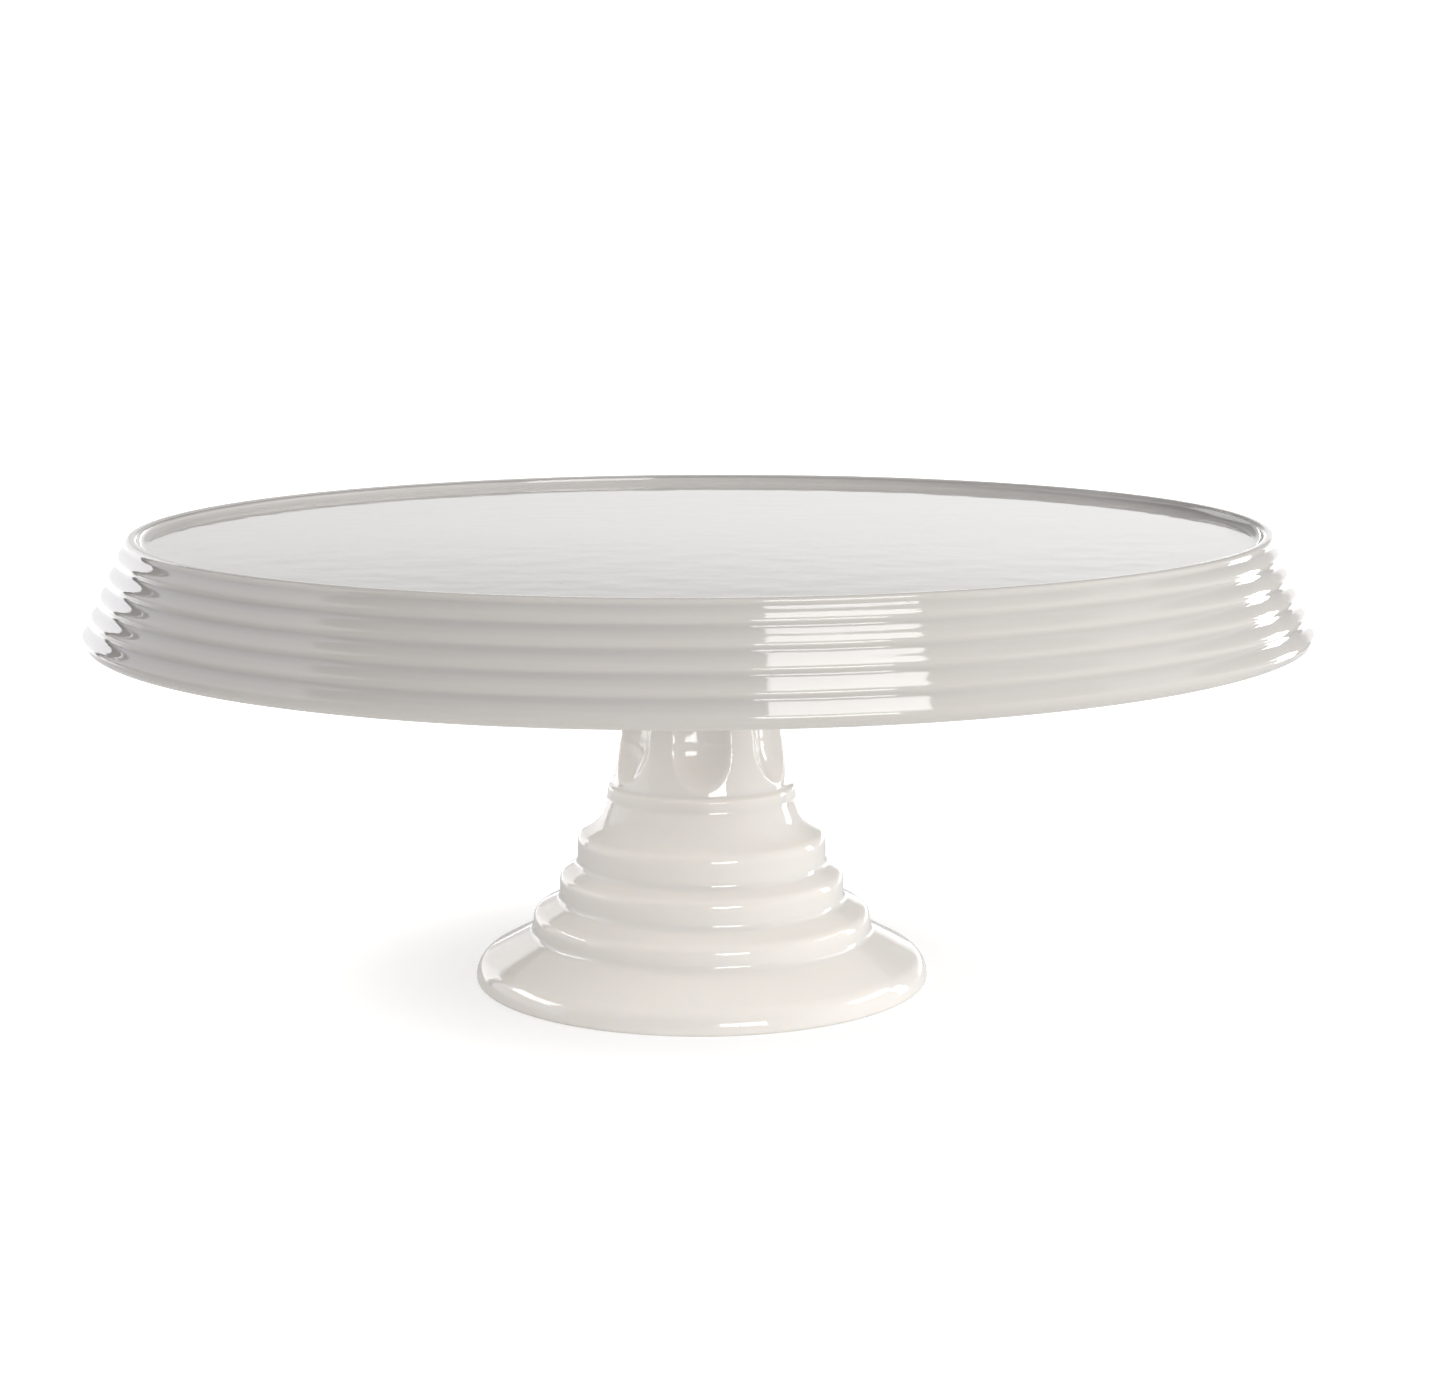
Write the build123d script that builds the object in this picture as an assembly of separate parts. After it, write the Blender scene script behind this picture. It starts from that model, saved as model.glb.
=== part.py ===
"""Footed porcelain cake stand: a rimmed plate luted to a hollow, fluted pedestal.

Three pieces, all round about the Z axis: the plate, the pedestal, and the seam of slip that fires
hard between them. The origin is the middle of the foot, on the table. Sizes are in millimetres.
"""
import os
from math import asin, cos, pi, sin, sqrt

from build123d import *

# Overall sizes
PLATE_RADIUS = 160.0
STAND_HEIGHT = 121.8
FOOT_RADIUS = 60.4

# Plate: a flat deck with a raised lip, and a ribbed skirt that flares down and outwards
DECK_THICKNESS = 6.0
LIP_HEIGHT = 2.4
LIP_CREST_RADIUS = 146.5
LIP_WIDTH = 3.0
LIP_LEAN = 0.4
LIP_EDGE_ROUND = 1.2
COVE_REACH = 3.0
COVE_ROUND = 2.1
SKIRT_TOP_RADIUS = 149.2
SKIRT_SLOPE = 0.487
SKIRT_WALL = 5.6
SKIRT_BEAD_RADIUS = 2.5
SKIRT_BEAD_HEIGHT = 97.7
SKIRT_INNER_FILLET = 5.0

# Ribs turned into the skirt: each is a short ledge, half the pitch or less, over a steep face
RIB_COUNT = 5
RIB_PITCH = 4.85
RIB_DEPTH = 0.41
RIB_LEDGE = 1.96
FIRST_LEDGE_HEIGHT = 119.2

# Seat under the deck, where the pedestal's head is located
SEAT_RADIUS = 34.0
SEAT_HEIGHT = 2.0
SEAT_ROUND = 1.2
RECESS_DEPTH = 1.5

# Seam of slip round the pedestal's head
SEAM_GAP = 0.5
SEAM_FILLET = 3.0

# Pedestal
HEAD_RADIUS = 28.5
HEAD_WALL = 5.0
FOOT_RING_RADIUS = 53.6
STEM_WAIST_RADIUS = 20.0
STEM_WAIST_HEIGHT = 86.0
STEM_CURVE_RADIUS = 146.0
STEM_BOTTOM_HEIGHT = 53.2
STEM_TOP_HEIGHT = 103.0
NECK_TOP_LEAN = 0.25

# Corners of the pedestal's outline below the stem, from the foot up: radius, height, rounding
FLANGE_CORNERS = [
    (FOOT_RADIUS, 0.0, 1.2),
    (FOOT_RADIUS, 5.0, 6.0),
    (45.2, 13.1, 2.0),
]
STEP_CORNERS = [
    (45.0, 18.3, 3.0),
    (38.0, 21.9, 2.0),
    (37.9, 28.5, 2.8),
    (33.2, 31.4, 2.0),
    (33.1, 39.2, 3.0),
]
FLARE_CORNERS = [
    (28.2, 42.2, 12.0),
    (25.2, 49.3, 3.0),
    (24.9, 52.4, 0.9),
]

# Corners of the hollow inside the pedestal, from the foot up: radius, height, rounding
HOLLOW_CORNERS = [
    (52.2, 3.4, 5.0),
    (39.5, 10.2, 8.0),
    (32.5, 22.5, 20.0),
    (27.0, 37.0, 12.0),
    (19.0, 46.5, 10.0),
    (14.6, 80.0, 90.0),
    (16.2, 101.0, 6.0),
    (20.5, 107.3, 1.5),
]

# Flutes scooped out of the stem
FLUTE_COUNT = 6
FLUTE_SCOOP_RADIUS = 15.0
FLUTE_DEPTH = 3.3
FLUTE_BOTTOM_HEIGHT = 66.6
FLUTE_TOP_HEIGHT = 90.5
FLUTE_FIRST_ANGLE = -90.0

DECK_TOP = STAND_HEIGHT - LIP_HEIGHT
DECK_UNDERSIDE = DECK_TOP - DECK_THICKNESS
SEAT_FACE = DECK_UNDERSIDE - SEAT_HEIGHT
RECESS_FACE = SEAT_FACE + RECESS_DEPTH
HEAD_TOP = RECESS_FACE - SEAM_GAP
RECESS_RADIUS = HEAD_RADIUS + SEAM_GAP
BEAD_CENTRE_RADIUS = PLATE_RADIUS - SKIRT_BEAD_RADIUS


def lathe(outline):
    """The solid that a closed outline in the XZ plane sweeps as it turns about Z."""
    return revolve(make_face(outline), axis=Axis.Z)


def point(radius, height):
    """A point of an outline, as a radius and a height."""
    return Vector(radius, 0, height)


def rounded_run(corners, start, end):
    """A run of straight lines from start to end, rounded off at each corner."""
    points = [start] + [point(radius, height) for radius, height, _ in corners] + [end]
    return FilletPolyline(*points, radius=[rounding for _, _, rounding in corners])


def skirt_radius(height):
    """Mean outer radius of the conical skirt at a height."""
    return SKIRT_TOP_RADIUS + (DECK_TOP - height) * SKIRT_SLOPE


def rib_points():
    """Hollow and crest of each rib in turn, from the foot of the lip down to the bead."""
    points = []
    for rib in range(RIB_COUNT):
        ledge = FIRST_LEDGE_HEIGHT - rib * RIB_PITCH
        for side in (-1, 1):
            height = ledge - side * RIB_LEDGE / 2
            points.append(point(skirt_radius(height) + side * RIB_DEPTH, height))
    return points


def plate_outline():
    """Half section of the plate: deck, cove, lip, ribs, bead, inside of the skirt, seat."""
    lip_inner = LIP_CREST_RADIUS - LIP_WIDTH / 2
    lip_outer = LIP_CREST_RADIUS + LIP_WIDTH / 2
    cove_start = point(lip_inner - COVE_REACH, DECK_TOP)
    ribs_from_lip = rib_points()
    lip_foot = ribs_from_lip[0]
    bead_side = point(PLATE_RADIUS, SKIRT_BEAD_HEIGHT)
    bead_inner = point(BEAD_CENTRE_RADIUS - SKIRT_BEAD_RADIUS, SKIRT_BEAD_HEIGHT)
    skirt_inside = point(skirt_radius(DECK_UNDERSIDE) - SKIRT_WALL, DECK_UNDERSIDE)
    lip = rounded_run(
        [
            (lip_inner, DECK_TOP, COVE_ROUND),
            (lip_inner + LIP_LEAN, STAND_HEIGHT, LIP_EDGE_ROUND),
            (lip_outer, STAND_HEIGHT, LIP_EDGE_ROUND),
        ],
        cove_start,
        lip_foot,
    )
    ribs = Spline(*ribs_from_lip, bead_side)
    bead = ThreePointArc(
        bead_side,
        point(BEAD_CENTRE_RADIUS, SKIRT_BEAD_HEIGHT - SKIRT_BEAD_RADIUS),
        bead_inner,
    )
    underside = rounded_run(
        [
            (skirt_inside.X, skirt_inside.Z, SKIRT_INNER_FILLET),
            (SEAT_RADIUS, DECK_UNDERSIDE, SEAT_ROUND),
            (SEAT_RADIUS, SEAT_FACE, SEAT_ROUND / 2),
        ],
        bead_inner,
        point(RECESS_RADIUS, SEAT_FACE),
    )
    recess = Polyline(
        point(RECESS_RADIUS, SEAT_FACE),
        point(RECESS_RADIUS, RECESS_FACE),
        point(0, RECESS_FACE),
        point(0, DECK_TOP),
        cove_start,
    )
    return Curve() + [lip, ribs, bead, underside, recess]


def stem_radius(height):
    """Outer radius of the waisted stem at a height."""
    rise = height - STEM_WAIST_HEIGHT
    sagitta = STEM_CURVE_RADIUS - sqrt(STEM_CURVE_RADIUS**2 - rise**2)
    return STEM_WAIST_RADIUS + sagitta


def pedestal_outline():
    """Half section of the pedestal: foot flange, three steps, flare, ring, stem, head, hollow."""
    foot_inner = point(FOOT_RING_RADIUS, 0)
    stem_bottom = point(stem_radius(STEM_BOTTOM_HEIGHT), STEM_BOTTOM_HEIGHT)
    stem_top = point(stem_radius(STEM_TOP_HEIGHT), STEM_TOP_HEIGHT)
    stem_waist = point(STEM_WAIST_RADIUS, STEM_WAIST_HEIGHT)
    head_edge = point(HEAD_RADIUS, SEAT_FACE - SEAM_FILLET)
    head_underside = HEAD_TOP - HEAD_WALL
    outside = rounded_run(FLANGE_CORNERS + STEP_CORNERS + FLARE_CORNERS, foot_inner, stem_bottom)
    stem = ThreePointArc(stem_bottom, stem_waist, stem_top)
    neck = Spline(stem_top, head_edge, tangents=[stem % 1, (NECK_TOP_LEAN, 0, 1)])
    head = Polyline(
        head_edge,
        point(HEAD_RADIUS, HEAD_TOP),
        point(0, HEAD_TOP),
        point(0, head_underside),
    )
    hollow = rounded_run(HOLLOW_CORNERS[::-1], point(0, head_underside), foot_inner)
    return Curve() + [outside, stem, neck, head, hollow]


def flute_scoop():
    """Round-ended tool that follows the stem's curve and scoops out one flute."""
    offset = FLUTE_SCOOP_RADIUS - FLUTE_DEPTH
    path_radius = STEM_CURVE_RADIUS - offset
    centre = STEM_WAIST_RADIUS + STEM_CURVE_RADIUS
    low_angle = asin((FLUTE_BOTTOM_HEIGHT - STEM_WAIST_HEIGHT) / path_radius)
    high_angle = asin((FLUTE_TOP_HEIGHT - STEM_WAIST_HEIGHT) / path_radius)
    ends = []
    for angle in (low_angle, high_angle):
        ends.append(point(centre - path_radius * cos(angle), STEM_WAIST_HEIGHT + path_radius * sin(angle)))
    middle = point(STEM_WAIST_RADIUS + offset, STEM_WAIST_HEIGHT)
    path = ThreePointArc(ends[0], middle, ends[1])
    scoop = sweep(Plane(path @ 0, z_dir=path % 0) * Circle(FLUTE_SCOOP_RADIUS), path)
    for end in ends:
        scoop += Pos(end) * Sphere(FLUTE_SCOOP_RADIUS)
    return scoop


def make_plate():
    return lathe(plate_outline())


def make_pedestal():
    pedestal = lathe(pedestal_outline())
    scoop = flute_scoop()
    for index in range(FLUTE_COUNT):
        pedestal -= Rot(0, 0, FLUTE_FIRST_ANGLE + index * 360 / FLUTE_COUNT) * scoop
    return pedestal


def make_slip_seam():
    """Thin layer that fills the recess over the head, and the fillet smoothed round its outside."""
    fillet_foot = point(HEAD_RADIUS, SEAT_FACE - SEAM_FILLET)
    fillet_edge = point(HEAD_RADIUS + SEAM_FILLET, SEAT_FACE)
    fillet_middle = point(
        HEAD_RADIUS + SEAM_FILLET * (1 - cos(pi / 4)),
        SEAT_FACE - SEAM_FILLET * (1 - sin(pi / 4)),
    )
    layer = Polyline(
        fillet_edge,
        point(RECESS_RADIUS, SEAT_FACE),
        point(RECESS_RADIUS, RECESS_FACE),
        point(0, RECESS_FACE),
        point(0, HEAD_TOP),
        point(HEAD_RADIUS, HEAD_TOP),
        fillet_foot,
    )
    fillet = ThreePointArc(fillet_foot, fillet_middle, fillet_edge)
    return lathe(Curve() + [layer, fillet])


PIECES = {
    "plate": make_plate,
    "pedestal": make_pedestal,
    "slip_seam": make_slip_seam,
}

os.makedirs("parts", exist_ok=True)
for name, make in PIECES.items():
    piece = make()
    export_step(piece, f"parts/{name}.step")
    print(name, f"{piece.volume / 1000:.1f} cm3")
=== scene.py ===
"""Visual model of a footed porcelain cake stand: a rimmed, ribbed plate luted to a fluted pedestal.

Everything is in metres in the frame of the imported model. Outlines are written in millimetres of
radius and height, turned about the Z axis, and scaled by MM when a mesh is made.
"""
from math import atan2, cos, pi, radians, sin, sqrt, tan

import bpy
from mathutils import Euler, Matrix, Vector


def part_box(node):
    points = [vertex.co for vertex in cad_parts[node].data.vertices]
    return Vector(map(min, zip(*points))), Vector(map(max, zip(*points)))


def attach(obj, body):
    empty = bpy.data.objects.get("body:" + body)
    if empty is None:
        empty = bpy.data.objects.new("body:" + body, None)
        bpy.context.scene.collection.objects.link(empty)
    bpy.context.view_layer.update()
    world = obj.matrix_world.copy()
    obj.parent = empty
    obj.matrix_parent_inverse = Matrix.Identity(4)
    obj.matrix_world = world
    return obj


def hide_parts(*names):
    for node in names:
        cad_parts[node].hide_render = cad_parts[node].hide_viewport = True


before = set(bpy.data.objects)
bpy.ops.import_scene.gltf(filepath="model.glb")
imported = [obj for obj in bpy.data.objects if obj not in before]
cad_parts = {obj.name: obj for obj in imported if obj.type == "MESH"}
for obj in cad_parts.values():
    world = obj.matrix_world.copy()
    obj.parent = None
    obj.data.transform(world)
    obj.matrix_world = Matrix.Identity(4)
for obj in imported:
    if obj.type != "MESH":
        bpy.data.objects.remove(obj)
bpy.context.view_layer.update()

MM = 0.001
TAU = 2 * pi
DEGREES = 180 / pi

# Heights and radii that come from the CAD nodes, in millimetres
plate_low, plate_high = (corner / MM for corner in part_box("plate"))
pedestal_low, pedestal_high = (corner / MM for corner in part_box("pedestal"))
STAND_HEIGHT = plate_high.z
PLATE_RADIUS = plate_high.x
SKIRT_BOTTOM = plate_low.z
FOOT_RADIUS = pedestal_high.x
HEAD_TOP = pedestal_high.z

# Plate: a deck with a raised lip and a conical skirt with a beaded edge
LIP_HEIGHT = 2.4
DECK_THICKNESS = 6.0
DECK_TOP = STAND_HEIGHT - LIP_HEIGHT
DECK_UNDERSIDE = DECK_TOP - DECK_THICKNESS
LIP_INNER_RADIUS = 144.9
LIP_INNER_LEAN = 0.5
LIP_OUTER_LEAN = 0.4
LIP_INNER_ROUND = 1.1
LIP_OUTER_ROUND = 1.3
COVE_ROUND = 2.6
SKIRT_TOP = 120.2
SKIRT_TOP_RADIUS = 149.2
SKIRT_SLOPE = 0.487
SKIRT_WALL = 5.6
SKIRT_INNER_FILLET = 5.0
BEAD_RADIUS = 2.5
BEAD_HEIGHT = SKIRT_BOTTOM + BEAD_RADIUS
BEAD_START_ANGLE = 20.0

# Ribs of the skirt: a wave down the cone, a little steeper on one side than the other
RIBS_BOTTOM = BEAD_HEIGHT + 1.2
RIB_STEPS = 110
RIB_PITCH = 4.85
FIRST_LEDGE = 119.2
RIB_SWING = 0.50
RIB_SHARPNESS = -0.10

# Seat under the plate, with a recess for the slip
SEAT_RADIUS = 34.0
SEAT_HEIGHT = 2.0
SEAT_ROUND = 1.2
SEAT_FACE = DECK_UNDERSIDE - SEAT_HEIGHT
RECESS_DEPTH = 1.5
RECESS_FACE = SEAT_FACE + RECESS_DEPTH
RECESS_RADIUS = 29.0

# The rounding of a corner that is left sharp, and how far the rim has tipped in the kiln
CRISP = 0.05
KILN_WARP = 0.45

# Pedestal: head, waisted stem, and below it corners of radius, height and rounding
HEAD_RADIUS = 28.5
HEAD_ROUND = 3.0
NECK_CORNER = (22.0, 105.2, 3.5)
SEAM_FILLET = 3.0
HEAD_BOTTOM = SEAT_FACE - SEAM_FILLET - 1.0
STEM_WAIST_RADIUS = 20.0
STEM_WAIST_HEIGHT = 86.0
STEM_CURVE_RADIUS = 146.0
STEM_BOTTOM = 53.2
STEM_TOP = 103.0
STEM_STEPS = 60
FOOT_RING_RADIUS = 53.6
FLARE_CORNERS = [
    (24.9, 52.4, 0.9),
    (25.2, 49.3, 3.0),
    (28.2, 42.2, 12.0),
]
STEP_CORNERS = [
    (33.1, 39.2, 3.0),
    (33.2, 31.4, 2.2),
    (37.9, 28.5, 2.8),
    (38.0, 21.9, 2.2),
    (45.0, 18.3, 3.0),
    (45.2, 13.1, 2.2),
]
FLANGE_CORNERS = [
    (FOOT_RADIUS, 5.0, 6.0),
    (FOOT_RADIUS, 0.0, 1.2),
    (FOOT_RING_RADIUS, 0.0, 0.6),
]
HOLLOW_CORNERS = [
    (52.2, 3.4, 3.0),
    (39.5, 10.2, 8.0),
    (32.5, 22.5, 20.0),
    (27.0, 37.0, 12.0),
    (19.0, 46.5, 10.0),
    (14.6, 80.0, 90.0),
    (16.2, 101.0, 6.0),
    (20.5, 107.3, 1.5),
    (0, 107.3, 0),
]

# Flutes scooped out of the stem, the first of them in front
FLUTE_COUNT = 6
FLUTE_SCOOP_RADIUS = 15.0
FLUTE_DEPTH = 3.3
FLUTE_BOTTOM = 66.6
FLUTE_TOP = 90.5
FLUTE_EDGE_ROUND = 0.9

# Bare clay of the foot ring: how high it reaches, and how far inside the flange's edge it stops
BISQUE_HEIGHT = 0.9
BISQUE_MARGIN = 0.4

# Meshes: segments round, and the longest span along an outline
SEGMENTS = 512
SEAM_SEGMENTS = 256
LONGEST_FLAT = 6.0
LONGEST_FLUTED = 0.8

# Pooling of the glaze, which also sets the shade painted into grooves and the lip's cove: its value on
# flats, how far a bend reaches, and how much it gathers
POOL_AND_SHADE_FLAT = 0.5
POOL_AND_SHADE_REACH = 1.4
POOL_AND_SHADE_GAIN = 1.3


# ---------------------------------------------------------------- outlines

def arc(centre, radius, start, end, steps):
    """Points on an arc from one angle to another, in degrees from the +radius direction."""
    points = []
    for step in range(steps + 1):
        angle = radians(start + (end - start) * step / steps)
        points.append((centre[0] + radius * cos(angle), centre[1] + radius * sin(angle)))
    return points


def rounded(corners, arc_steps=10):
    """Polyline through corners of (radius, height, rounding), each replaced by a tangent arc."""
    points = [corners[0][:2]]
    for before, corner, after in zip(corners, corners[1:], corners[2:]):
        place = Vector(corner[:2])
        rounding = corner[2]
        back = (Vector(before[:2]) - place).normalized()
        ahead = (Vector(after[:2]) - place).normalized()
        half = back.angle(ahead) / 2
        centre = place + (back + ahead).normalized() * rounding / sin(half)
        first = place + back * rounding / tan(half) - centre
        last = place + ahead * rounding / tan(half) - centre
        side = 1 if first.x * last.y - first.y * last.x > 0 else -1
        start = atan2(first.y, first.x)
        end = start + side * first.angle(last)
        points += arc(centre, rounding, start * DEGREES, end * DEGREES, arc_steps)
    points.append(corners[-1][:2])
    return points


def refined(points, longest):
    """The same outline with every span cut into lengths no longer than longest."""
    result = [points[0]]
    for (r0, z0), (r1, z1) in zip(points, points[1:]):
        count = int(sqrt((r1 - r0) ** 2 + (z1 - z0) ** 2) / longest) + 1
        for step in range(1, count + 1):
            share = step / count
            result.append((r0 + (r1 - r0) * share, z0 + (z1 - z0) * share))
    return result


def skirt_radius(height):
    """Outer radius of the ribbed skirt: a cone that steps outward a little at each ledge."""
    phase = TAU * (height - FIRST_LEDGE) / RIB_PITCH
    swing = RIB_SWING * sin(phase) + RIB_SHARPNESS / 2 * sin(2 * phase)
    cone = SKIRT_TOP_RADIUS + (DECK_TOP - height) * SKIRT_SLOPE
    return cone - swing * RIB_PITCH / TAU


def plate_outline():
    """Half section of the plate, from the middle of the deck round to the middle of the seat."""
    top = skirt_radius(SKIRT_TOP)
    lip = rounded([
        (0, DECK_TOP, 0),
        (LIP_INNER_RADIUS, DECK_TOP, COVE_ROUND),
        (LIP_INNER_RADIUS + LIP_INNER_LEAN, STAND_HEIGHT, LIP_INNER_ROUND),
        (top - LIP_OUTER_LEAN, STAND_HEIGHT, LIP_OUTER_ROUND),
        (top, SKIRT_TOP, 0),
    ])
    ribs = []
    for step in range(1, RIB_STEPS + 1):
        height = SKIRT_TOP + (RIBS_BOTTOM - SKIRT_TOP) * step / RIB_STEPS
        ribs.append((skirt_radius(height), height))
    bead = arc((PLATE_RADIUS - BEAD_RADIUS, BEAD_HEIGHT), BEAD_RADIUS, BEAD_START_ANGLE, -180, 24)
    underside = rounded([
        bead[-1],
        (skirt_radius(DECK_UNDERSIDE) - SKIRT_WALL, DECK_UNDERSIDE, SKIRT_INNER_FILLET),
        (SEAT_RADIUS, DECK_UNDERSIDE, SEAT_ROUND),
        (SEAT_RADIUS, SEAT_FACE, SEAT_ROUND / 2),
        (RECESS_RADIUS, SEAT_FACE, CRISP),
        (RECESS_RADIUS, RECESS_FACE, CRISP),
        (0, RECESS_FACE, 0),
    ])
    return lip + ribs + bead + underside[1:]


def stem_radius(height):
    """Outer radius of the waisted stem."""
    rise = height - STEM_WAIST_HEIGHT
    return STEM_WAIST_RADIUS + STEM_CURVE_RADIUS - sqrt(STEM_CURVE_RADIUS**2 - rise**2)


def pedestal_outline():
    """Half section of the pedestal, from the middle of the head down outside and up inside."""
    stem = []
    for step in range(STEM_STEPS + 1):
        height = STEM_TOP + (STEM_BOTTOM - STEM_TOP) * step / STEM_STEPS
        stem.append((stem_radius(height), height))
    head = rounded([
        (0, HEAD_TOP, 0),
        (HEAD_RADIUS, HEAD_TOP, CRISP),
        (HEAD_RADIUS, HEAD_BOTTOM, HEAD_ROUND),
        NECK_CORNER,
        stem[0],
    ])
    foot = rounded([stem[-1], *FLARE_CORNERS, *STEP_CORNERS, *FLANGE_CORNERS, *HOLLOW_CORNERS])
    return head[:-1] + stem + foot[1:]


def seam_outline():
    """Half section of the fired slip: the layer in the recess and the fillet round the head."""
    centre = (HEAD_RADIUS + SEAM_FILLET, SEAT_FACE - SEAM_FILLET)
    return [
        (0, RECESS_FACE),
        (RECESS_RADIUS, RECESS_FACE),
        (RECESS_RADIUS, SEAT_FACE),
        *arc(centre, SEAM_FILLET, 90, 180, 12),
        (HEAD_RADIUS, HEAD_TOP),
        (0, HEAD_TOP),
    ]


# ---------------------------------------------------------------- meshes

def add_to_scene(name, data):
    """New object in the scene's own collection."""
    made = bpy.data.objects.new(name, data)
    bpy.context.scene.collection.objects.link(made)
    return made


def smooth_min(a, b, width):
    """The smaller of two values, with the corner between them rounded over width."""
    nearness = max(width - abs(a - b), 0) / width
    return min(a, b) - nearness * nearness * width / 4


def warped(radius, height, angle):
    """The plate after firing: it has tipped a little, so its rim is high on one side."""
    share = (radius / PLATE_RADIUS) ** 2
    return radius, height + KILN_WARP * share * cos(angle)


def fluted(radius, height, angle):
    """The pedestal with its flutes scooped out of the stem."""
    offset = FLUTE_SCOOP_RADIUS - FLUTE_DEPTH
    path_radius = STEM_CURVE_RADIUS - offset
    along = min(max(height, FLUTE_BOTTOM), FLUTE_TOP)
    rise = along - STEM_WAIST_HEIGHT
    centre = STEM_WAIST_RADIUS + STEM_CURVE_RADIUS - sqrt(path_radius**2 - rise**2)
    spacing = TAU / FLUTE_COUNT
    away = (angle + pi / 2 + spacing / 2) % spacing - spacing / 2
    inside = FLUTE_SCOOP_RADIUS**2 - (height - along) ** 2 - (centre * sin(away)) ** 2
    if inside <= 0:
        return radius, height
    scooped = centre * cos(away) - sqrt(inside)
    return smooth_min(radius, scooped, FLUTE_EDGE_ROUND), height


def pooling_and_shade(rings):
    """How much glaze gathers at each ring, which also sets the shade painted into grooves: 0 on sharp
    edges, POOL_AND_SHADE_FLAT on flats, 1 in grooves.
    """
    bends = [0.0]
    lengths = [0.0]
    for (r0, z0), (r1, z1), (r2, z2) in zip(rings, rings[1:], rings[2:]):
        turn = atan2(z2 - z1, r2 - r1) - atan2(z1 - z0, r1 - r0)
        bends.append((turn + pi) % TAU - pi)
        lengths.append(lengths[-1] + sqrt((r1 - r0) ** 2 + (z1 - z0) ** 2))
    result = []
    for here in lengths:
        gathered = 0.0
        for bend, place in zip(bends, lengths):
            gathered += bend * max(1 - abs(place - here) / POOL_AND_SHADE_REACH, 0) / POOL_AND_SHADE_REACH
        result.append(min(max(POOL_AND_SHADE_FLAT + gathered * POOL_AND_SHADE_GAIN, 0.0), 1.0))
    result.append(POOL_AND_SHADE_FLAT)
    return result


def turned_mesh(name, outline, segments, shape=None):
    """Closed mesh of an outline turned about Z; the outline starts and ends on the axis."""
    rings = outline[1:-1]
    # Glaze pooling at each vertex, which also sets the shade painted into grooves and the lip's cove
    glaze = [POOL_AND_SHADE_FLAT, POOL_AND_SHADE_FLAT]
    vertices = [(0, 0, outline[0][1] * MM), (0, 0, outline[-1][1] * MM)]
    for (radius, height), pooled_and_shaded in zip(rings, pooling_and_shade(rings)):
        glaze += [pooled_and_shaded] * segments
        for segment in range(segments):
            angle = TAU * segment / segments
            r, z = shape(radius, height, angle) if shape else (radius, height)
            vertices.append((r * cos(angle) * MM, r * sin(angle) * MM, z * MM))
    faces = []
    for segment in range(segments):
        after = (segment + 1) % segments
        faces.append((0, 2 + segment, 2 + after))
        for ring in range(len(rings) - 1):
            above = 2 + ring * segments
            below = above + segments
            faces.append((above + segment, below + segment, below + after, above + after))
        last = 2 + (len(rings) - 1) * segments
        faces.append((last + after, last + segment, 1))
    mesh = bpy.data.meshes.new(name)
    mesh.from_pydata(vertices, [], faces)
    mesh.polygons.foreach_set("use_smooth", [True] * len(mesh.polygons))
    pool_and_shade_values = mesh.attributes.new("pooling_and_shade", "FLOAT", "POINT")
    pool_and_shade_values.data.foreach_set("value", glaze)
    mesh.update()
    return add_to_scene(name, mesh)


# ---------------------------------------------------------------- shader helpers

def link(tree, value, socket):
    """Feed a socket with a number, a colour or another node's output."""
    if isinstance(value, bpy.types.NodeSocket):
        tree.links.new(value, socket)
    else:
        socket.default_value = value


def calc(tree, operation, first, second=0.0, third=0.0):
    """Result of a math node."""
    made = tree.nodes.new("ShaderNodeMath")
    made.operation = operation
    for socket, value in zip(made.inputs, (first, second, third)):
        link(tree, value, socket)
    return made.outputs[0]


def ramp(tree, value, start, end, low=0.0, high=1.0):
    """Smooth step of a value from low at start to high at end."""
    made = tree.nodes.new("ShaderNodeMapRange")
    made.interpolation_type = "SMOOTHSTEP"
    for name, given in (
        ("Value", value), ("From Min", start), ("From Max", end), ("To Min", low), ("To Max", high),
    ):
        link(tree, given, made.inputs[name])
    return made.outputs[0]


def band(tree, value, start, end, soft):
    """1 between start and end, 0 outside, with edges soft wide."""
    rise = ramp(tree, value, start - soft / 2, start + soft / 2)
    fall = ramp(tree, value, end - soft / 2, end + soft / 2, 1.0, 0.0)
    return calc(tree, "MULTIPLY", rise, fall)


def blend(tree, share, first, second):
    """Colour between two colours."""
    made = tree.nodes.new("ShaderNodeMix")
    made.data_type = "RGBA"
    link(tree, share, made.inputs["Factor"])
    link(tree, first, made.inputs["A"])
    link(tree, second, made.inputs["B"])
    return made.outputs["Result"]


def chosen(tree, choice, first, second):
    """The first value where the choice is 0 and the second where it is 1."""
    made = tree.nodes.new("ShaderNodeMix")
    link(tree, choice, made.inputs["Factor"])
    link(tree, first, made.inputs["A"])
    link(tree, second, made.inputs["B"])
    return made.outputs["Result"]


def separated(tree, vector):
    """X, Y and Z of a vector."""
    made = tree.nodes.new("ShaderNodeSeparateXYZ")
    tree.links.new(vector, made.inputs[0])
    return made.outputs


def noise(tree, place, scale, detail=2.0):
    """Value of a noise texture, 0 to 1, at a place in metres."""
    made = tree.nodes.new("ShaderNodeTexNoise")
    link(tree, place, made.inputs["Vector"])
    made.inputs["Scale"].default_value = scale
    made.inputs["Detail"].default_value = detail
    return made.outputs["Fac"]


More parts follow.
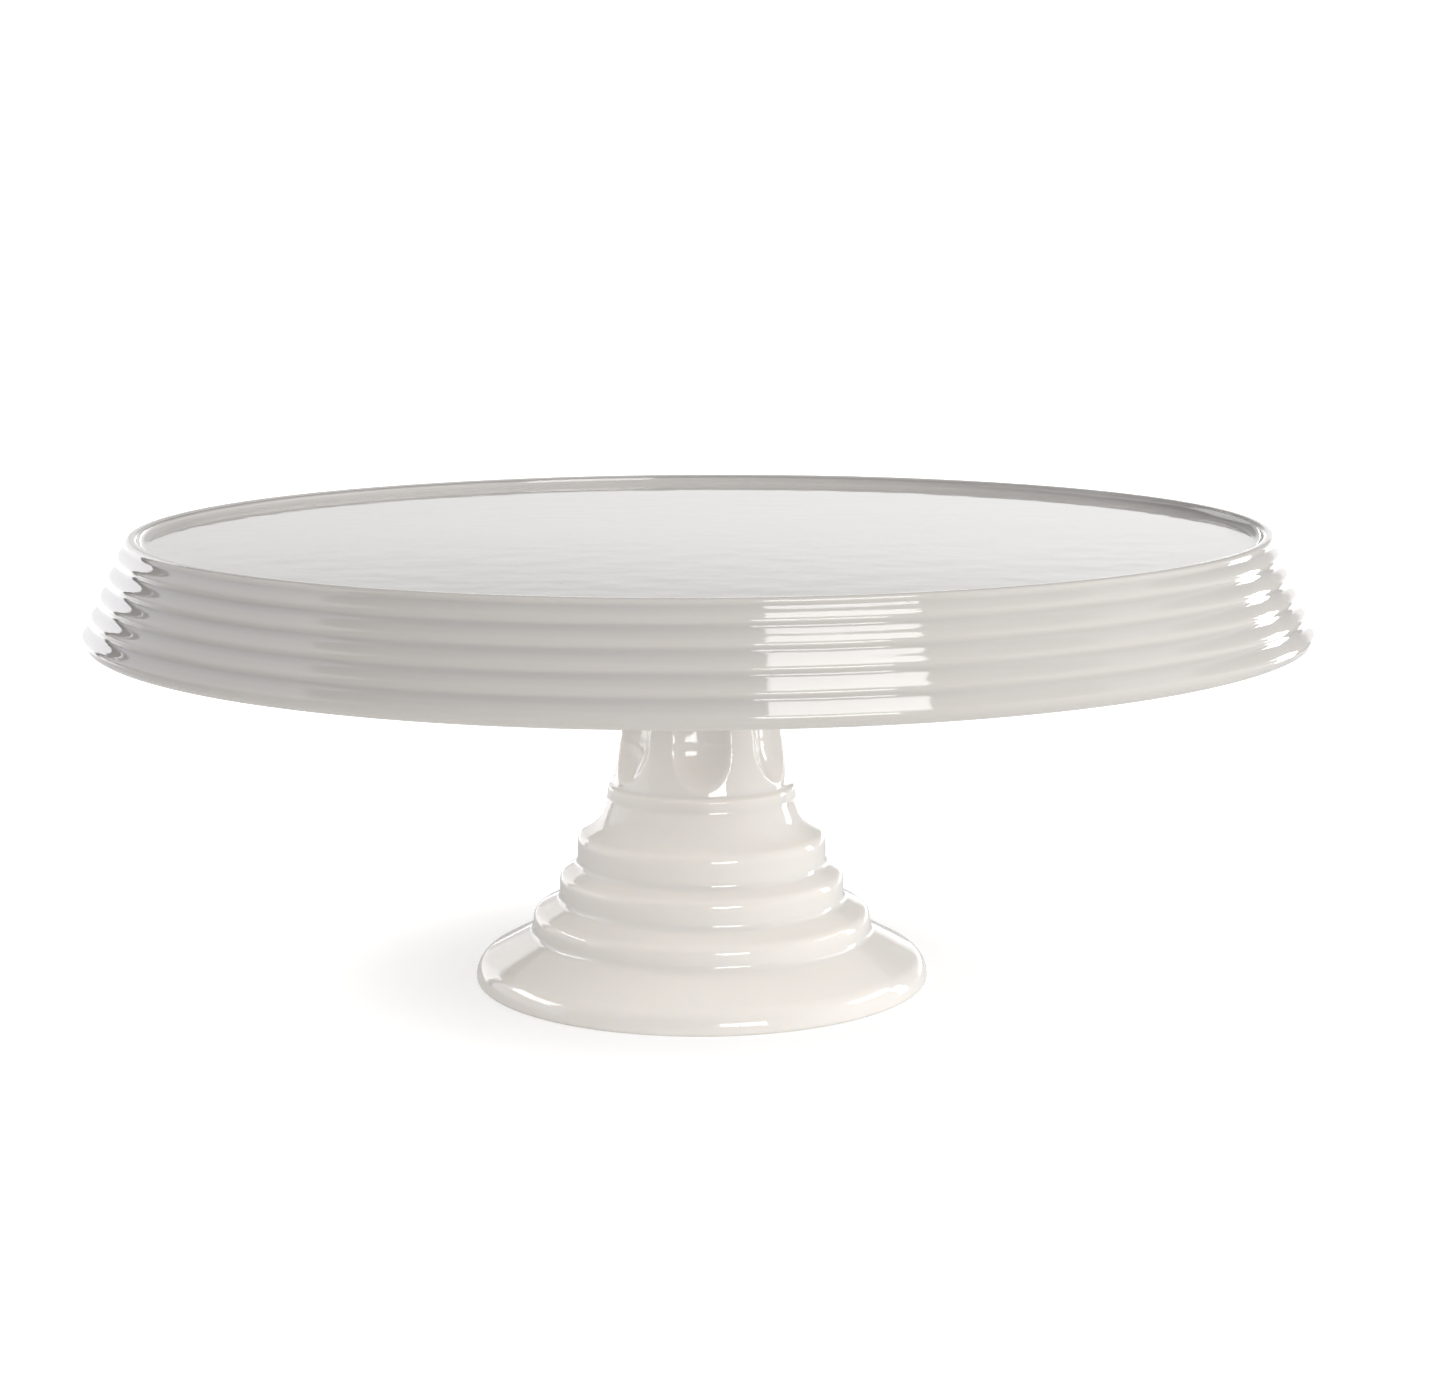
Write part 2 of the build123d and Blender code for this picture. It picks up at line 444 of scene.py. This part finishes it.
def bump(tree, height, depth, normal=None):
    """Normal bent by a height map whose full swing is depth metres."""
    made = tree.nodes.new("ShaderNodeBump")
    made.inputs["Distance"].default_value = depth
    tree.links.new(height, made.inputs["Height"])
    if normal:
        tree.links.new(normal, made.inputs["Normal"])
    return made.outputs["Normal"]


def object_place(tree):
    """Object coordinates, in metres."""
    return tree.nodes.new("ShaderNodeTexCoord").outputs["Object"]


def specks(tree, place, spacing, radius, share):
    """Mask of round specks scattered about one spacing apart, in a share of the places."""
    cells = tree.nodes.new("ShaderNodeTexVoronoi")
    tree.links.new(place, cells.inputs["Vector"])
    cells.inputs["Scale"].default_value = 1 / spacing
    split = tree.nodes.new("ShaderNodeSeparateColor")
    tree.links.new(cells.outputs["Color"], split.inputs[0])
    kept = calc(tree, "LESS_THAN", split.outputs[0], share)
    size = radius / spacing
    spot = ramp(tree, cells.outputs["Distance"], size * SPOT_CORE, size, 1.0, 0.0)
    return calc(tree, "MULTIPLY", spot, kept)


def new_material(name):
    """A material with its node tree and its Principled shader."""
    material = bpy.data.materials.new(name)
    material.use_nodes = True
    return material, material.node_tree, material.node_tree.nodes["Principled BSDF"]


# ---------------------------------------------------------------- materials of the stand

# Glaze and bare clay: noise scales are per metre; spacings, radii and depths are in metres
EDGE_TINT = (1.02, 1.00, 0.975)
# Darker white for pooled glaze and for the shade painted into grooves and the lip's cove
POOL_AND_SHADE_TINT = (0.91, 0.905, 0.895)
CLOUD_SCALE = 22.0
CLOUD_SHARE = 0.5
WARM_TINT = (1.0, 0.985, 0.955)
WARM_SCALE = 9.0
WARM_SHARE = 0.6
SPECK_COLOUR = (0.30, 0.24, 0.18, 1)
SPECK_SPACING = 0.017
SPECK_RADIUS = 0.00042
SPECK_SHARE = 0.22
SPECK_STRENGTH = 0.75
SPOT_CORE = 0.6
PIT_SPACING = 0.009
PIT_RADIUS = 0.00022
PIT_SHARE = 0.25
PIT_DEPTH = 0.00006
GLAZE_IOR = 1.58
GLAZE_ROUGHNESS = 0.025
GLAZE_ROUGHNESS_SWING = 0.03
GLAZE_ROUGHNESS_SCALE = 60.0
WAVE_SCALE = 75.0
WAVE_DEPTH = 0.00005
PEEL_SCALE = 420.0
PEEL_DEPTH = 0.000004
SCATTER_SHARE = 0.5
SCATTER_DEPTH = 0.0014
SCATTER_COLOUR = (1.0, 0.9, 0.75)

BISQUE_PALE = (0.80, 0.77, 0.71, 1)
BISQUE_STAINED = (0.70, 0.66, 0.59, 1)
BISQUE_ROUGHNESS = 0.85
STAIN_SCALE = 40.0
GRAIN_SCALE = 1800.0
GRAIN_DEPTH = 0.00006
SCRATCH_SCALE = 260.0
SCRATCH_DEPTH = 0.00008


def tinted(colour, tint):
    """A colour multiplied by a tint, with alpha."""
    return (*(channel * share for channel, share in zip(colour, tint)), 1)


def glaze_colour(tree, place, white, pool_and_shade_shift):
    """White that darkens a little where glaze pools, with shade painted into grooves and the lip's cove,
    warm clouds and a few iron specks.
    """
    attribute = tree.nodes.new("ShaderNodeAttribute")
    attribute.attribute_name = "pooling_and_shade"
    start = (1 - CLOUD_SHARE - pool_and_shade_shift) / 2
    pooled_and_shaded = calc(tree, "MULTIPLY_ADD", attribute.outputs["Fac"], pool_and_shade_shift, start)
    # Clouds of tone, plus glaze pooling with shade painted into grooves and the cove
    drift = calc(tree, "MULTIPLY_ADD", noise(tree, place, CLOUD_SCALE), CLOUD_SHARE, pooled_and_shaded)
    colour = blend(tree, ramp(tree, drift, 0.1, 0.9), tinted(white, EDGE_TINT), tinted(white, POOL_AND_SHADE_TINT))
    warmth = ramp(tree, noise(tree, place, WARM_SCALE), 0.35, 0.7, 0.0, WARM_SHARE)
    colour = blend(tree, warmth, colour, tinted(white, WARM_TINT))
    iron = specks(tree, place, SPECK_SPACING, SPECK_RADIUS, SPECK_SHARE)
    return blend(tree, calc(tree, "MULTIPLY", iron, SPECK_STRENGTH), colour, SPECK_COLOUR)


def glaze_material(name, white, pool_and_shade_shift):
    """White porcelain under a clear glossy glaze that thins on edges and pools in grooves, with shade
    painted into the grooves and the lip's cove.
    """
    material, tree, shader = new_material(name)
    place = object_place(tree)
    tree.links.new(glaze_colour(tree, place, white, pool_and_shade_shift), shader.inputs["Base Color"])
    drift = noise(tree, place, GLAZE_ROUGHNESS_SCALE)
    roughness = calc(tree, "MULTIPLY_ADD", drift, GLAZE_ROUGHNESS_SWING, GLAZE_ROUGHNESS)
    tree.links.new(roughness, shader.inputs["Roughness"])
    shader.inputs["IOR"].default_value = GLAZE_IOR
    shader.inputs["Subsurface Weight"].default_value = SCATTER_SHARE
    shader.inputs["Subsurface Radius"].default_value = SCATTER_COLOUR
    shader.inputs["Subsurface Scale"].default_value = SCATTER_DEPTH
    waves = bump(tree, noise(tree, place, WAVE_SCALE, 1.0), WAVE_DEPTH)
    peel = bump(tree, noise(tree, place, PEEL_SCALE, 1.0), PEEL_DEPTH, waves)
    pits = specks(tree, place, PIT_SPACING, PIT_RADIUS, PIT_SHARE)
    hollow = calc(tree, "SUBTRACT", 1.0, pits)
    tree.links.new(bump(tree, hollow, PIT_DEPTH, peel), shader.inputs["Normal"])
    return material


def bisque_material(name):
    """Bare fired porcelain of the foot ring, where the glaze was wiped off."""
    material, tree, shader = new_material(name)
    place = object_place(tree)
    stain = ramp(tree, noise(tree, place, STAIN_SCALE, 4.0), 0.35, 0.75)
    tree.links.new(blend(tree, stain, BISQUE_PALE, BISQUE_STAINED), shader.inputs["Base Color"])
    shader.inputs["Roughness"].default_value = BISQUE_ROUGHNESS
    grain = bump(tree, noise(tree, place, GRAIN_SCALE, 3.0), GRAIN_DEPTH)
    scratches = bump(tree, noise(tree, place, SCRATCH_SCALE, 5.0), SCRATCH_DEPTH, grain)
    tree.links.new(scratches, shader.inputs["Normal"])
    return material


# ---------------------------------------------------------------- materials of the studio

# The floor: its paper, what it sheds, how it shows in the glaze, and how it shows in the picture, with a
# shadow painted round the foot
FLOOR_SHADE = 0.6
PAPER_SCALE = 300.0
PAPER_SWING = 0.01
FLOOR_SHED = 0.34
FLOOR_FRONT_GLOW = 0.32
FLOOR_BACK_GLOW = 2.0
FLOOR_GLOW_START = 0.15
FLOOR_GLOW_END = 0.7
# Floor as the camera sees it: a painted shadow round the foot, with its glow at the middle and the radii
# in metres where it starts to fade and where it is gone
FLOOR_SEEN_IN_PAINTED_SHADOW = 0.61
SHADOW_INNER = 0.055
SHADOW_OUTER = 0.15
MATT = 0.9


def make_matt(shader):
    """Dull paper or cloth that can glow white."""
    shader.inputs["Roughness"].default_value = MATT
    shader.inputs["Specular IOR Level"].default_value = 0.0
    shader.inputs["Emission Color"].default_value = (1, 1, 1, 1)


def floor_material():
    """White matt sweep, brighter toward the back; its picture is kept white but for a soft shadow
    painted round the foot.
    """
    material, tree, shader = new_material("pale_sweep")
    make_matt(shader)
    place = object_place(tree)
    tones = [FLOOR_SHADE * (1 - PAPER_SWING), FLOOR_SHADE * (1 + PAPER_SWING)]
    grey = [(tone, tone, tone, 1) for tone in tones]
    paper = blend(tree, noise(tree, place, PAPER_SCALE, 3.0), *grey)
    tree.links.new(paper, shader.inputs["Base Color"])
    distance = tree.nodes.new("ShaderNodeVectorMath")
    distance.operation = "LENGTH"
    tree.links.new(place, distance.inputs[0])
    # Painted shadow: the glow the camera sees is lower round the foot
    seen_with_painted_shadow = ramp(tree, distance.outputs["Value"], SHADOW_INNER, SHADOW_OUTER, FLOOR_SEEN_IN_PAINTED_SHADOW, 1.0)
    depth = separated(tree, place)["Y"]
    mirrored = ramp(tree, depth, FLOOR_GLOW_START, FLOOR_GLOW_END, FLOOR_FRONT_GLOW, FLOOR_BACK_GLOW)
    rays = tree.nodes.new("ShaderNodeLightPath").outputs
    glow = chosen(tree, rays["Is Glossy Ray"], FLOOR_SHED, mirrored)
    glow = chosen(tree, rays["Is Camera Ray"], glow, seen_with_painted_shadow)
    tree.links.new(glow, shader.inputs["Emission Strength"])
    return material


def card_material(name, shade, glow, shed):
    """Matt card of a grey shade; it glows in the mirror of the glaze and sheds less on the rest."""
    material, tree, shader = new_material(name)
    make_matt(shader)
    shader.inputs["Base Color"].default_value = (shade, shade, shade, 1)
    rays = tree.nodes.new("ShaderNodeLightPath").outputs
    strength = chosen(tree, rays["Is Glossy Ray"], shed, glow)
    tree.links.new(strength, shader.inputs["Emission Strength"])
    return material


# ---------------------------------------------------------------- studio

CAMERA_DISTANCE = 0.750
CAMERA_HEIGHT = 0.2019
CAMERA_PITCH = 0.1641
CAMERA_YAW = 0.0075
CAMERA_ROLL = 0.0011
CAMERA_LENS = 71.43
SENSOR_WIDTH = 36.0

# Colours of the studio's light
NEUTRAL = (1, 1, 1, 1)
LAVENDER = (0.97, 0.965, 1.0, 1)
LAVENDER_BEARINGS = (-40.0, -10.0)

# Radiance of the surroundings, where 1.0 is paper white in the picture: first as the camera sees
# them, then as the glaze mirrors them
WHITE = 1.05
BACKDROP = 2.6
BACKDROP_HAZE = 0.95
SIDE_PANEL = 2.4
LEFT_WALL = 1.15
RIGHT_WALL = 0.7
FRONT_LOW = 0.45
CEILING = 0.10

# Where they change, in degrees: bearings from +Y toward +X, and heights above the horizon
CEILING_HEIGHTS = (10.0, 24.0)
UNDER_WALL_BEARINGS = (-180.0, -44.0)
UNDER_WALL_HEIGHTS = (0.8, 2.2)
HAZE_BEARINGS = (-20.0, 20.0)
HAZE_LEFT = 0.9 * BACKDROP_HAZE
HAZE_RIGHT = 1.25 * BACKDROP_HAZE
SIDE_PANEL_BEARINGS = (-42.0, -14.0)
SIDE_PANEL_INNER = 0.5 * SIDE_PANEL

# Soft light that the surroundings shed from two ways: direction and strength
SHED_WAYS = (
    ((0.85, -0.2, 0.49), 1.11),
    ((0.0, -0.6, 0.8), 0.45),
)
SHED_START = 0.2
SHED_FULL = 0.9

# Cards on the floor, by their bearings in degrees from a point near one end of the skirt
LEFT_POINT = (-0.13, -0.03, 0)
RIGHT_POINT = (0.145, -0.05, 0)
FLAG_SIDES = (-44.0, -40.5)
FLAG_DISTANCE = 0.85
FLAG_TOP = 0.5
GREY_SIDES = (34.0, 45.0)
STRIP_SIDES = (45.0, 56.5)
STRIP_DISTANCE = 0.5
STRIP_TOP = 0.24
STRIP_GLOW = 6.0
GREY_GLOW = 0.25

# Shades of the cards' own paper
BLACK_SHADE = 0.03
GREY_SHADE = 0.1
WHITE_SHADE = 0.5

# Large softbox over the front: corners to the right of its middle and up its face
SOFTBOX_AIM = (0, -0.15, 0.11)
SOFTBOX_AWAY = 1.2
SOFTBOX_CORNERS = ((0.215, 0.0), (0.85, 0.12), (0.77, 0.87), (0.20, 0.69))
SOFTBOX_GLOW = 5.6
SOFTBOX_SHED = 0.9

# Low softbox in front on the right, and its bright face
LOW_SOFTBOX_PLACE = (0.39, -1.055, 0.30)
LOW_SOFTBOX_AIM = (0.0, -0.04, 0.03)
LOW_SOFTBOX_SIZE = (0.46, 0.32)
LOW_SOFTBOX = 7.2
LOW_FACE_GLOW = 8.0
LOW_FACE_GAP = 0.01

# Fills on both sides of the pedestal
FILL_SIDE = 1.0
FILL_BACK = 0.25
FILL_HEIGHT = 0.75
FILL_AIM = (0, 0, 0.02)
FILL_SIZE = (0.7, 0.5)
LEFT_FILL = 5.2
RIGHT_FILL = 3.4

FLOOR_SIDE = 1.5
FLOOR_FRONT = 1.5
FLOOR_BACK = 4.0


def flat_mesh(name, corners, material):
    """Mesh of one four-sided face."""
    mesh = bpy.data.meshes.new(name)
    mesh.from_pydata(corners, [], [(0, 1, 2, 3)])
    mesh.materials.append(material)
    return mesh


def add_camera():
    """Long-lens camera in front, looking a little down on the deck."""
    data = bpy.data.cameras.new("camera")
    data.lens = CAMERA_LENS
    data.sensor_width = SENSOR_WIDTH
    data.sensor_fit = "HORIZONTAL"
    camera = add_to_scene("camera", data)
    camera.location = (0, -CAMERA_DISTANCE, CAMERA_HEIGHT)
    aim = Euler((pi / 2 - CAMERA_PITCH, 0, -CAMERA_YAW)).to_matrix()
    camera.rotation_euler = (aim @ Euler((0, 0, -CAMERA_ROLL)).to_matrix()).to_euler()
    bpy.context.scene.camera = camera


def add_floor():
    """Pale sweep that the stand rests on."""
    corners = [
        (-FLOOR_SIDE, -FLOOR_FRONT, 0),
        (FLOOR_SIDE, -FLOOR_FRONT, 0),
        (FLOOR_SIDE, FLOOR_BACK, 0),
        (-FLOOR_SIDE, FLOOR_BACK, 0),
    ]
    add_to_scene("floor", flat_mesh("floor", corners, floor_material()))


def shed_light(tree, way):
    """Soft light of the surroundings, for every ray but the mirrored ones."""
    shed = 0.0
    for source, strength in SHED_WAYS:
        facing = tree.nodes.new("ShaderNodeVectorMath")
        facing.operation = "DOT_PRODUCT"
        tree.links.new(way, facing.inputs[0])
        facing.inputs[1].default_value = source
        part = ramp(tree, facing.outputs["Value"], SHED_START, SHED_FULL, 0.0, strength)
        shed = calc(tree, "ADD", shed, part)
    return shed


def mirrored_light(tree, bearing, lift):
    """What the glaze mirrors: a dim room with a backdrop, a side panel and two walls."""
    light = ramp(tree, lift, *CEILING_HEIGHTS, FRONT_LOW, CEILING)
    under_wall = band(tree, bearing, *UNDER_WALL_BEARINGS, 1.0)
    low = ramp(tree, lift, *UNDER_WALL_HEIGHTS, 1.0, 0.0)
    gap = calc(tree, "MULTIPLY", under_wall, low)
    light = calc(tree, "MULTIPLY", light, calc(tree, "SUBTRACT", 1.0, gap))
    haze = ramp(tree, bearing, *HAZE_BEARINGS, HAZE_LEFT, HAZE_RIGHT)
    side = ramp(tree, bearing, *SIDE_PANEL_BEARINGS, SIDE_PANEL, SIDE_PANEL_INNER)
    # Each panel: bearings and how soft those edges are, elevations and how soft, radiance
    for sides, side_soft, heights, height_soft, radiance in (
        ((-8.0, 35.0), 8.0, (-90.0, 4.2), 2.0, BACKDROP),
        ((-16.0, 35.0), 1.0, (-90.0, 8.5), 5.0, haze),
        (SIDE_PANEL_BEARINGS, 1.0, (-90.0, 24.0), 4.0, side),
        ((-106.0, -44.0), 1.0, (1.5, 46.0), 1.5, LEFT_WALL),
        ((62.0, 125.0), 2.0, (-5.0, 45.0), 3.0, RIGHT_WALL),
    ):
        across = band(tree, bearing, *sides, side_soft)
        panel = calc(tree, "MULTIPLY", across, band(tree, lift, *heights, height_soft))
        light = calc(tree, "MAXIMUM", calc(tree, "MULTIPLY", panel, radiance), light)
    return light


def add_world():
    """Studio all round, by bearing from +Y toward +X and by elevation, both in degrees."""
    world = bpy.data.worlds.new("studio")
    world.use_nodes = True
    tree = world.node_tree
    way = tree.nodes.new("ShaderNodeTexCoord").outputs["Generated"]
    x, y, z = separated(tree, way)
    bearing = calc(tree, "MULTIPLY", calc(tree, "ARCTAN2", x, y), DEGREES)
    lift = calc(tree, "MULTIPLY", calc(tree, "ARCSINE", z), DEGREES)
    rays = tree.nodes.new("ShaderNodeLightPath").outputs
    mirrored = mirrored_light(tree, bearing, lift)
    light = chosen(tree, rays["Is Glossy Ray"], shed_light(tree, way), mirrored)
    background = tree.nodes["Background"]
    cool = ramp(tree, bearing, *LAVENDER_BEARINGS, 1.0, 0.0)
    tree.links.new(blend(tree, cool, NEUTRAL, LAVENDER), background.inputs["Color"])
    tree.links.new(light, background.inputs["Strength"])
    paper = tree.nodes.new("ShaderNodeBackground")
    paper.inputs["Color"].default_value = NEUTRAL
    paper.inputs["Strength"].default_value = WHITE
    mix = tree.nodes.new("ShaderNodeMixShader")
    tree.links.new(rays["Is Camera Ray"], mix.inputs[0])
    tree.links.new(background.outputs[0], mix.inputs[1])
    tree.links.new(paper.outputs[0], mix.inputs[2])
    tree.links.new(mix.outputs[0], tree.nodes["World Output"].inputs["Surface"])
    bpy.context.scene.world = world


def add_card(name, corners, material):
    """Flat card of the studio that shows in the glaze but stays out of the picture."""
    card = add_to_scene(name, flat_mesh(name, corners, material))
    card.visible_camera = False
    card.visible_diffuse = False
    card.visible_shadow = False


def add_screen(name, start, sides, distance, top, material):
    """Upright card on the floor, across a span of bearings from a point near the skirt."""
    corners = []
    for turn, height in ((sides[0], 0), (sides[1], 0), (sides[1], top), (sides[0], top)):
        away = Vector((sin(radians(turn)), cos(radians(turn)), 0)) * distance
        corners.append(Vector(start) + away + Vector((0, 0, height)))
    add_card(name, corners, material)


def add_screens():
    """Cards whose upright edges show in the ends of the skirt."""
    black = card_material("black_card", BLACK_SHADE, 0.0, 0.0)
    bright = card_material("strip_face", WHITE_SHADE, STRIP_GLOW, 0.0)
    grey = card_material("grey_card", GREY_SHADE, GREY_GLOW, 0.0)
    add_screen("flag", LEFT_POINT, FLAG_SIDES, FLAG_DISTANCE, FLAG_TOP, black)
    add_screen("strip", RIGHT_POINT, STRIP_SIDES, STRIP_DISTANCE, STRIP_TOP, bright)
    add_screen("grey_board", RIGHT_POINT, GREY_SIDES, STRIP_DISTANCE, STRIP_TOP, grey)


def add_front_softbox():
    """Large softbox in front, up and to the right; its face leans back at 45 degrees."""
    out = Vector((0, -1, 1)).normalized()
    up = Vector((0, 1, 1)).normalized()
    centre = Vector(SOFTBOX_AIM) + out * SOFTBOX_AWAY
    corners = [centre + up * rise + Vector((side, 0, 0)) for side, rise in SOFTBOX_CORNERS]
    face = card_material("softbox_face", WHITE_SHADE, SOFTBOX_GLOW, SOFTBOX_SHED)
    add_card("front_softbox", corners, face)


def add_low_face():
    """Bright face of the low softbox, seen only in the mirror of the glaze."""
    aim = Vector(LOW_SOFTBOX_AIM) - Vector(LOW_SOFTBOX_PLACE)
    centre = Vector(LOW_SOFTBOX_PLACE) + aim.normalized() * LOW_FACE_GAP
    turn = aim.to_track_quat("-Z", "Y")
    wide, high = LOW_SOFTBOX_SIZE
    corners = []
    for side, rise in ((-wide, -high), (wide, -high), (wide, high), (-wide, high)):
        corners.append(centre + turn @ Vector((side / 2, rise / 2, 0)))
    face = card_material("low_softbox_face", WHITE_SHADE, LOW_FACE_GLOW, 0.0)
    add_card("low_glint", corners, face)


def group(name, members):
    """Collection of objects for a lamp to be linked to."""
    collection = bpy.data.collections.new(name)
    for member in members:
        collection.objects.link(member)
    return collection


def add_lamp(name, centre, aim, size, radiance, lit, shading):
    """Soft lamp that lights only some pieces and, where any are named, is shaded only by some."""
    data = bpy.data.lights.new(name, "AREA")
    data.shape = "RECTANGLE"
    data.size, data.size_y = size
    data.energy = radiance * pi * data.size * data.size_y
    lamp = add_to_scene(name, data)
    lamp.location = centre
    lamp.rotation_euler = (Vector(aim) - Vector(centre)).to_track_quat("-Z", "Y").to_euler()
    lamp.visible_camera = False
    lamp.light_linking.receiver_collection = group(name + "_lit", lit)
    if shading:
        lamp.light_linking.blocker_collection = group(name + "_shading", shading)


def add_pedestal_lamps(pedestal):
    """Low softbox in front on the right, and a soft fill on either side, for the pedestal alone."""
    add_lamp(
        "low_softbox", LOW_SOFTBOX_PLACE, LOW_SOFTBOX_AIM, LOW_SOFTBOX_SIZE, LOW_SOFTBOX,
        [pedestal], [],
    )
    for name, side, radiance in (
        ("left_fill", -FILL_SIDE, LEFT_FILL),
        ("right_fill", FILL_SIDE, RIGHT_FILL),
    ):
        place = (side, FILL_BACK, FILL_HEIGHT)
        add_lamp(name, place, FILL_AIM, FILL_SIZE, radiance, [pedestal], [pedestal])


# ---------------------------------------------------------------- the stand

PLATE_WHITE = (0.80, 0.78, 0.755)
# The pedestal's white is painted lighter than the plate's to stand in for the stronger light on it; both
# are the same porcelain
PEDESTAL_WHITE_PAINTED_LIGHTER = (0.86, 0.84, 0.82)
SEAM_WHITE = (0.80, 0.79, 0.765)

# How strongly pooled glaze and the shade painted into grooves change the white of each piece
PLATE_POOL_AND_SHADE = 0.9
PEDESTAL_POOL_AND_SHADE = 0.4
SEAM_POOL_AND_SHADE = 0.9


def declare(piece, cad_node, slot, white, pool_and_shade_shift):
    """Give a piece its glaze, attach it to the root body and hide the CAD node it stands for."""
    piece.data.materials.append(glaze_material(slot, white, pool_and_shade_shift))
    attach(piece, "root")
    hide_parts(cad_node)


def wipe_foot_ring(pedestal):
    """Bare clay on the faces the stand rests on."""
    mesh = pedestal.data
    mesh.materials.append(bisque_material("foot_bisque"))
    for face in mesh.polygons:
        radius = sqrt(face.center.x**2 + face.center.y**2) / MM
        height = face.center.z / MM
        if height < BISQUE_HEIGHT and radius < FOOT_RADIUS - BISQUE_MARGIN:
            face.material_index = 1


def add_stand():
    """The three pieces of the stand; gives back the pedestal, which has lamps of its own."""
    plate = turned_mesh("porcelain_plate", refined(plate_outline(), LONGEST_FLAT), SEGMENTS, warped)
    pedestal = turned_mesh(
        "porcelain_pedestal", refined(pedestal_outline(), LONGEST_FLUTED), SEGMENTS, fluted)
    seam = turned_mesh("fired_slip_seam", seam_outline(), SEAM_SEGMENTS)
    declare(plate, "plate", "plate_glaze", PLATE_WHITE, PLATE_POOL_AND_SHADE)
    declare(pedestal, "pedestal", "pedestal_glaze", PEDESTAL_WHITE_PAINTED_LIGHTER, PEDESTAL_POOL_AND_SHADE)
    declare(seam, "slip_seam", "seam_glaze", SEAM_WHITE, SEAM_POOL_AND_SHADE)
    wipe_foot_ring(pedestal)
    return pedestal


def main():
    pedestal = add_stand()
    add_floor()
    add_world()
    add_screens()
    add_front_softbox()
    add_pedestal_lamps(pedestal)
    add_low_face()
    add_camera()
    scene = bpy.context.scene
    scene.view_settings.view_transform = "Standard"
    scene.cycles.use_denoising = True


main()
